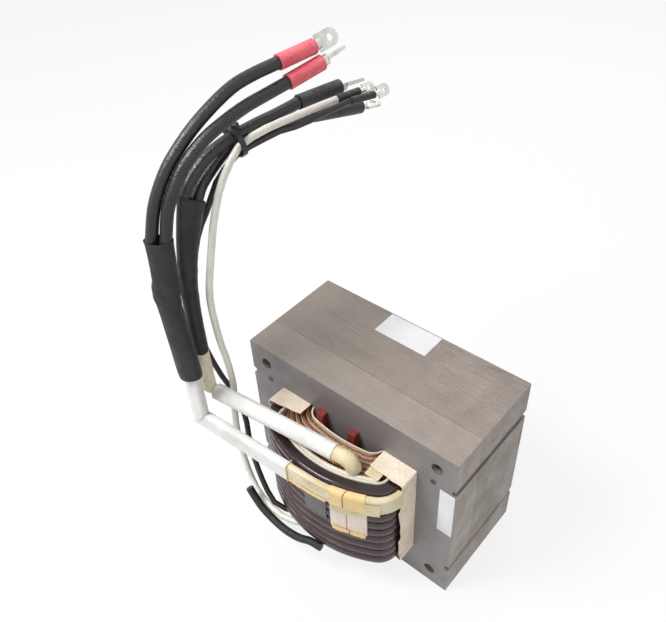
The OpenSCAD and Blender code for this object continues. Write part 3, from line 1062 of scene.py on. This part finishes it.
@dataclass
class Block(Piece):
    """A small soft-edged block: centre, size and turn in millimetres and degrees."""

    name: str
    finish: str
    centre: Point
    size: Point
    turn: Point = (0.0, 0.0, 0.0)
    edge: float = 0.4

    def shape(self) -> bpy.types.Object:
        """Builds the block from a cube with bevelled edges.

        Returns:
            The block.
        """
        bpy.ops.mesh.primitive_cube_add(size=1.0, scale=[s / PER_METRE for s in self.size])
        piece = bpy.context.object
        bpy.ops.object.transform_apply(location=False, rotation=False, scale=True)
        bpy.ops.object.mode_set(mode="EDIT")
        bpy.ops.mesh.select_all(action="SELECT")
        bpy.ops.mesh.bevel(offset=self.edge / PER_METRE, segments=3)
        bpy.ops.object.mode_set(mode="OBJECT")
        piece.rotation_euler = [math.radians(a) for a in self.turn]
        piece.location = [c / PER_METRE for c in self.centre]
        return piece


@dataclass
class SleeveRim(Piece):
    """The uneven cut edge of a round sleeve, sizes in millimetres and degrees."""

    name: str
    finish: str
    centre: Point
    turn: Point
    radius: float
    thick: float
    smooth_angle = 60.0

    def shape(self) -> bpy.types.Object:
        """Builds the rim from a thin ring whose edge runs in waves.

        Returns:
            The rim.
        """
        bpy.ops.mesh.primitive_torus_add(
            major_radius=self.radius / PER_METRE, minor_radius=self.thick / 2 / PER_METRE,
            major_segments=48, minor_segments=10, location=[c / PER_METRE for c in self.centre],
            rotation=[math.radians(a) for a in self.turn])
        rim = bpy.context.object
        for vert in rim.data.vertices:
            angle = math.atan2(vert.co.y, vert.co.x)
            vert.co *= 1.0 + 0.02 * math.sin(3.0 * angle) + 0.012 * math.sin(8.0 * angle)
            vert.co.z += 0.0003 * math.sin(2.0 * angle + 0.6) + 0.00015 * math.sin(7.0 * angle)
        return rim


@dataclass
class CoilDressing(Assembly):
    """Tapes, tabs and rims on the coil and its leads, and the tie's head and tail."""

    patches: list[TapePatch] = field(default_factory=lambda: [
        TapePatch("lead_fold_low", "yellow_tape", (20.0, -19.0), (137.0, 141.5), 8.3, 0.3, 0.15),
        TapePatch("lead_fold_high", "lead_tape", (18.0, -24.0), (143.0, 154.5), 8.35, 0.3, 0.3, 0.8),
        TapePatch("lead_lap", "elbow_tape", (-52.0, -66.0), (135.6, 152.0), 8.3, 0.3, 0.2),
        TapePatch("wide_tape_hem", "yellow_tape", (-20.0, -52.0), (87.5, 93.5), 1.0, 0.35, 0.3, -1.5),
        TapePatch("wide_tape_lap", "lead_tape", (-18.5, -53.5), (118.0, 137.0), 1.0, 0.35, 0.4),
    ])
    blocks: list[Block] = field(default_factory=lambda: [
        Block("sleeve_rim", "elbow_tape", (-15.4, -120.1, 146.0), (1.0, 9.3, 22.0), (0.0, 0.0, 3.0), 0.4),
        Block("coil_top_tab", "lead_tape", (51.5, -82.0, 157.9), (14.0, 9.0, 1.0), (0.0, 4.0, 4.0), 0.35),
        Block("tie_head", "tie", (-122.3, -36.0, 416.6), (6.2, 4.4, 7.0), (20.0, 0.0, 20.0), 0.8),
        Block("tie_tail", "tie", (-131.0, -38.5, 408.0), (19.0, 1.4, 3.4), (0.0, 38.0, 10.0), 0.4),
    ])
    rims: list[SleeveRim] = field(default_factory=lambda: [
        SleeveRim("inner_sleeve_rim", "bar", (15.12, -91.12, 168.0), (0.0, 90.0, 6.4), 8.1, 0.9),
    ])


@dataclass
class LeadCovers(Assembly):
    """The shrink sleeves over the joints and the cover on the inner lead's upright end."""

    sleeves: list[JointSleeve] = field(default_factory=lambda: [
        JointSleeve("joint_sleeve_front", "joint_sleeve_1", [
            ((-126, -127.2, 204), 10.8, 8.8, 0), ((-126, -127.6, 212), 11.4, 9.2, 0),
            ((-126, -129, 250), 10.8, 9, 0), ((-126, -131, 285), 10.2, 8.8, 0),
            ((-126, -131, 299), 10.8, 8.7, 0), ((-126, -130.5, 308), 13, 8.6, 0),
            ((-125.5, -129, 318), 11.2, 7.6, 0), ((-125, -128, 335), 11.4, 7, 0),
            ((-125, -127, 357.4), 11.2, 6.6, 0)], 37.0),
        JointSleeve("joint_sleeve_rear", "joint_sleeve_2", [
            ((-131, -107.5, 213), 6.6, 6.6, 0), ((-131, -107.5, 221), 7.6, 7.4, 0),
            ((-131, -107.5, 262), 7.4, 7.3, 0), ((-131, -105, 300), 8.6, 7.4, 0),
            ((-131, -99, 328), 10, 7.2, 0.2), ((-131, -92, 350), 11.6, 7, 0.5),
            ((-131, -85, 371.5), 11.6, 6.4, 0.7)], 90.0),
        JointSleeve("inner_lead_cover", "", [
            ((-130.4, -107.5, 164.0), 4.6, 3.8, 0), ((-130.6, -107.5, 167.0), 7.4, 6.4, 0),
            ((-131, -107.5, 173), 8.4, 7.0, 0), ((-131, -107.5, 190), 8.2, 6.8, 0),
            ((-131, -107.5, 204), 7.8, 6.8, 0), ((-131, -107.5, 218), 6.4, 6.4, 0)], 0.0, "bar"),
    ])


@dataclass
class CoilInsulation(Assembly):
    """The slot liners and the sleeve on the winding's free start."""

    liners: list[Liner] = field(default_factory=lambda: [
        Liner("liner_sheet_left", "slot_liner_left", -1, 6.0),
        Liner("liner_sheet_right", "slot_liner_right", 1, 1.0),
    ])
    tubes: list[SmoothTube] = field(default_factory=lambda: [
        SmoothTube("start_sleeve_tube", "start_sleeve", [
            (12, -116.6, 41.2), (-1, -117.6, 40.2), (-14, -120.4, 36.6), (-27, -121.8, 35.6),
            (-39, -122, 36), (-52, -121.6, 38.6), (-64, -121, 43), (-73, -120.5, 51),
            (-81, -120, 61)], 8.0, "shrink"),
    ])


@dataclass
class Blank(Piece):
    """A thin blank label stuck to a face."""

    name: str
    corner: Point
    size: Point
    finish: str = "label"

    def shape(self) -> bpy.types.Object:
        """Builds the label as a thin plate with rounded edges.

        Returns:
            The label.
        """
        deselect()
        centre = [(c + s / 2) / PER_METRE for c, s in zip(self.corner, self.size)]
        bpy.ops.mesh.primitive_cube_add(size=1.0, location=centre, scale=[s / PER_METRE for s in self.size])
        piece = bpy.context.object
        bpy.ops.object.transform_apply(location=True, rotation=False, scale=True)
        bpy.ops.object.mode_set(mode="EDIT")
        bpy.ops.mesh.select_all(action="SELECT")
        bpy.ops.mesh.bevel(offset=0.0001, segments=2)
        bpy.ops.object.mode_set(mode="OBJECT")
        return piece


@dataclass
class Labels(Assembly):
    """The blank labels on the core's top and front."""

    blanks: list[Blank] = field(default_factory=lambda: [
        Blank("blank_label_top", (-33.6, 27.6, 200.0), (59.2, 29.2, 0.3)),
        Blank("blank_label_front", (104.4, -58.3, 96.0), (15.4, 0.3, 60.0)),
    ])


@dataclass
class Studio:
    """The camera, the floor and the lamps, in metres and watts."""

    eye: Point = (0.29113, -0.38121, 0.68734)
    right: Point = (0.75898, 0.64964, -0.04387)
    down: Point = (0.4059, -0.52475, -0.74825)
    ahead: Point = (-0.50911, 0.5501, -0.66196)
    lens: float = 39.53
    surround: float = 0.43
    floor_glow: float = 0.82
    aim: Point = (0.0, 0.0, 0.15)
    lamps: tuple[tuple[str, Point, float, float], ...] = (
        ("key_lamp", (-0.55, -0.75, 1.5), 25.0, 0.6),
        ("side_lamp", (1.3, -0.5, 0.8), 2.0, 0.8),
        ("back_lamp", (-0.3, 1.2, 1.2), 7.0, 0.9),
    )

    def camera(self) -> None:
        """Places the camera that the front three-quarter view is taken from."""
        data = bpy.data.cameras.new("camera")
        data.lens = self.lens
        data.sensor_width = 36.0
        data.clip_start, data.clip_end = 0.02, 20.0
        cam = bpy.data.objects.new("camera", data)
        axes = Matrix((Vector(self.right), -Vector(self.down), -Vector(self.ahead)))
        cam.matrix_world = Matrix.Translation(self.eye) @ axes.transposed().to_4x4()
        bpy.context.scene.collection.objects.link(cam)
        bpy.context.scene.camera = cam

    @staticmethod
    def _white_where_seen(g: Graph, plain: Socket, white: Socket, share: float, end: Socket) -> None:
        """Shows white to camera, glossy and transmission rays, and something plain to the rest.

        Args:
            g: the graph of the floor or the world.
            plain: what the other rays meet.
            white: what those three kinds of ray meet.
            share: how far the white covers the plain, 0 to 1.
            end: where the result goes.
        """
        path = g.add("ShaderNodeLightPath").outputs
        seen = g.math("MAXIMUM", path["Is Camera Ray"], path["Is Glossy Ray"])
        seen = g.math("MAXIMUM", seen, path["Is Transmission Ray"])
        blend = g.add("ShaderNodeMixShader")
        g.join(g.math("MULTIPLY", seen, share), blend.inputs["Fac"])
        g.join(plain, blend.inputs[1])
        g.join(white, blend.inputs[2])
        g.join(blend.outputs["Shader"], end)

    def floor(self) -> None:
        """Lays a plain pale floor that keeps the object's shadow."""
        deselect()
        bpy.ops.mesh.primitive_plane_add(size=14.0, location=(0.0, 0.0, -0.0004))
        floor = bpy.context.object
        floor.name = "studio_floor"
        mat = bpy.data.materials.new("studio_floor")
        mat.use_nodes = True
        g = Graph(mat.node_tree)
        shader = mat.node_tree.nodes["Principled BSDF"]
        shader.inputs["Base Color"].default_value = (0.86, 0.86, 0.86, 1.0)
        shader.inputs["Roughness"].default_value = 0.9
        glow = g.add("ShaderNodeEmission")
        glow.inputs["Color"].default_value = WHITE
        end = mat.node_tree.nodes["Material Output"].inputs["Surface"]
        self._white_where_seen(g, shader.outputs["BSDF"], glow.outputs["Emission"], self.floor_glow, end)
        floor.data.materials.append(mat)

    def world(self) -> None:
        """Gives an even pale surround, white where the camera, metal or glass sees it."""
        world = bpy.data.worlds.new("studio")
        bpy.context.scene.world = world
        world.use_nodes = True
        g = Graph(world.node_tree)
        around = world.node_tree.nodes["Background"]
        around.inputs["Color"].default_value = WHITE
        around.inputs["Strength"].default_value = self.surround
        white = g.add("ShaderNodeBackground")
        white.inputs["Color"].default_value = WHITE
        end = world.node_tree.nodes["World Output"].inputs["Surface"]
        self._white_where_seen(g, around.outputs["Background"], white.outputs["Background"], 1.0, end)

    def lamp(self, name: str, place: Point, power: float, size: float) -> None:
        """Hangs one square soft lamp that faces the object.

        Args:
            name: the lamp's name.
            place: where it hangs, in metres.
            power: its power in watts.
            size: its side in metres.
        """
        data = bpy.data.lights.new(name, "AREA")
        data.energy = power
        data.size = size
        lamp = bpy.data.objects.new(name, data)
        lamp.location = place
        lamp.rotation_mode = "QUATERNION"
        lamp.rotation_quaternion = (Vector(self.aim) - Vector(place)).to_track_quat("-Z", "Y")
        bpy.context.scene.collection.objects.link(lamp)

    def make(self) -> None:
        """Sets up the whole studio."""
        self.floor()
        self.world()
        for lamp in self.lamps:
            self.lamp(*lamp)
        bpy.context.scene.view_settings.view_transform = "Standard"


NODE_FINISH: dict[str, str] = {
    "e_core": "core", "i_core": "core", "joint_pins": "pin", "former": "paper", "barrier_wrap": "wrap",
    "outer_winding": "enamel", "slot_liner_left": "liner", "slot_liner_right": "liner",
    "wedges": "wedge", "outer_lead": "lead_tape", "outer_lead_sleeve": "sleeve",
    "inner_lead": "elbow_tape", "inner_lead_sleeve": "sleeve", "inner_lead_bar": "bar",
    "tape_band": "yellow_tape", "wide_tape": "white_tape", "clear_tape": "clear_tape",
    "start_sleeve": "shrink", "joint_sleeve_1": "shrink", "joint_sleeve_2": "shrink",
    "cable_sleeve_a": "red_shrink", "cable_sleeve_b": "red_shrink", "cable_sleeve_c": "shrink",
    "cable_sleeve_d": "shrink", "cream_wire": "cream", "cream_sleeve": "shrink", "cream_lug": "tin",
    "black_sleeve": "shrink", "ring_lug": "tin", "cable_tie": "tie", "weld": "weld",
    "inner_layer": "conductor", "layer_paper": "paper", "cable": "cable", "black_wire": "cable",
    "lug": "tin",
}


def finish_of(node: str) -> str:
    """Finds the finish of a CAD node, by its name or by the start of it.

    Args:
        node: the node's name.

    Returns:
        The finish's name.
    """
    if node in NODE_FINISH:
        return NODE_FINISH[node]
    return next(finish for start, finish in NODE_FINISH.items() if node.startswith(start + "_"))


def main() -> None:
    """Builds the camera, the cords, the finishes, the other pieces and the light, in order."""
    studio = Studio()
    studio.camera()
    shop = FinishShop()
    CableBundle().make(shop)
    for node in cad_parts:
        shop.dress(node, finish_of(node))
        LOG.info("dressed %s", node)
    for assembly in (LeadCovers(), CoilInsulation(), CoilDressing(), Labels()):
        assembly.make(shop)
    studio.make()


if __name__ == "__main__":
    logging.basicConfig(level=logging.INFO)
    main()
